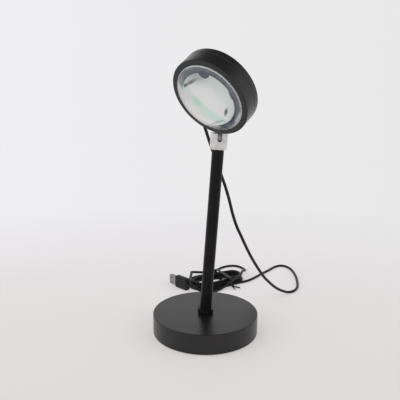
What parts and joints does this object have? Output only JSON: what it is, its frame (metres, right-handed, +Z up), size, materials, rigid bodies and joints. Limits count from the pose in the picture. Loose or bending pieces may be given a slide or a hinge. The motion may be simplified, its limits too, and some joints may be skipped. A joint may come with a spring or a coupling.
{
  "type": "projection lamp",
  "caption": "Projection lamp with a drum head and a domed lens on a ball joint, a slim leaning pole, a round weighted base and a USB lead tied in a hank.",
  "frame": {"origin": "centre of the round base, on the surface the lamp stands on", "axes": "+Z up; the lens faces the viewer, who stands at -Y, and down to -X; +X is the viewer's right, the side the pole leans to"},
  "size_m": [0.1795, 0.2686, 0.2891],
  "materials": {
    "foam": "closed-cell foam, matt",
    "black_paint": "satin black powder coat on steel",
    "black_tube": "satin black anodised aluminium tube",
    "head_paint": "satin black anodised aluminium, turned",
    "black_nut": "satin black",
    "cast_weight": "rough cast",
    "zinc_steel": "zinc plated",
    "bright_cup": "turned, bright satin",
    "bright_ball": "polished",
    "seat_plastic": "moulded acetal, natural",
    "lens_glass": "clear, fire polished",
    "gasket_rubber": "matt",
    "filter_glass": "dichroic coated, pale green",
    "reflector_white": "white moulded",
    "board_white": "white solder mask on an aluminium core",
    "chip_yellow": "silicone over phosphor",
    "resistor_black": "moulded",
    "wire_red": "PVC insulation",
    "screw_black": "black oxide",
    "gland_rubber": "moulded PVC, matt",
    "cord_pvc": "PVC sheath, satin",
    "tie_pvc": "coated wire",
    "plug_pvc": "moulded PVC, matt",
    "usb_nickel": "nickel plated",
    "usb_white": "moulded"
  },
  "bodies": {
    "stand": {"foot_pad": "foam", "bottom_plate": "black_paint", "base_shell": "black_paint", "base_weight": "cast_weight", "bottom_washer": "zinc_steel", "bottom_nut": "zinc_steel", "foot_nipple": "zinc_steel", "lock_nut": "black_nut", "pole_tube": "black_tube", "neck_insert": "bright_cup", "neck_spring": "zinc_steel", "ball_cup": "bright_cup", "cord_drop": "cord_pvc", "cord_hank": "cord_pvc", "cord_loop": "cord_pvc", "twist_tie": "tie_pvc", "cord_tail": "cord_pvc", "usb_overmold": "plug_pvc", "usb_shell": "usb_nickel", "usb_tongue": "usb_white"},
    "seat": {"ball_seat": "seat_plastic"},
    "ball": {"ball_stud": "bright_ball"},
    "head": {"stud_washer": "zinc_steel", "stud_nut": "zinc_steel", "front_housing": "head_paint", "lens": "lens_glass", "lens_gasket": "gasket_rubber", "filter_disc": "filter_glass", "reflector": "reflector_white", "led_chip": "chip_yellow", "led_board": "board_white", "board_screws": "zinc_steel", "driver_resistor": "resistor_black", "led_wires": "wire_red", "rear_cover": "head_paint", "cover_screws": "screw_black", "cord_gland": "gland_rubber"}
  },
  "joints": [
    {"name": "ball_swing", "type": "hinge", "parent": "stand", "child": "seat", "pos_m": [0.01258, 0, 0.20657], "axis": [0.068, 0, 0.9977], "range_deg": [-120, 120], "deforming": ["cord_drop"]},
    {"name": "ball_tilt", "type": "hinge", "parent": "seat", "child": "ball", "pos_m": [0.01258, 0, 0.20657], "axis": [0.9566, -0.284, -0.0652], "range_deg": [-77, 3], "deforming": ["cord_drop"]},
    {"name": "head_turn", "type": "hinge", "parent": "ball", "child": "head", "pos_m": [0.01258, 0, 0.20657], "axis": [-0.1162, -0.577, 0.8084], "range_deg": [-90, 90], "deforming": ["cord_drop"]}
  ]
}
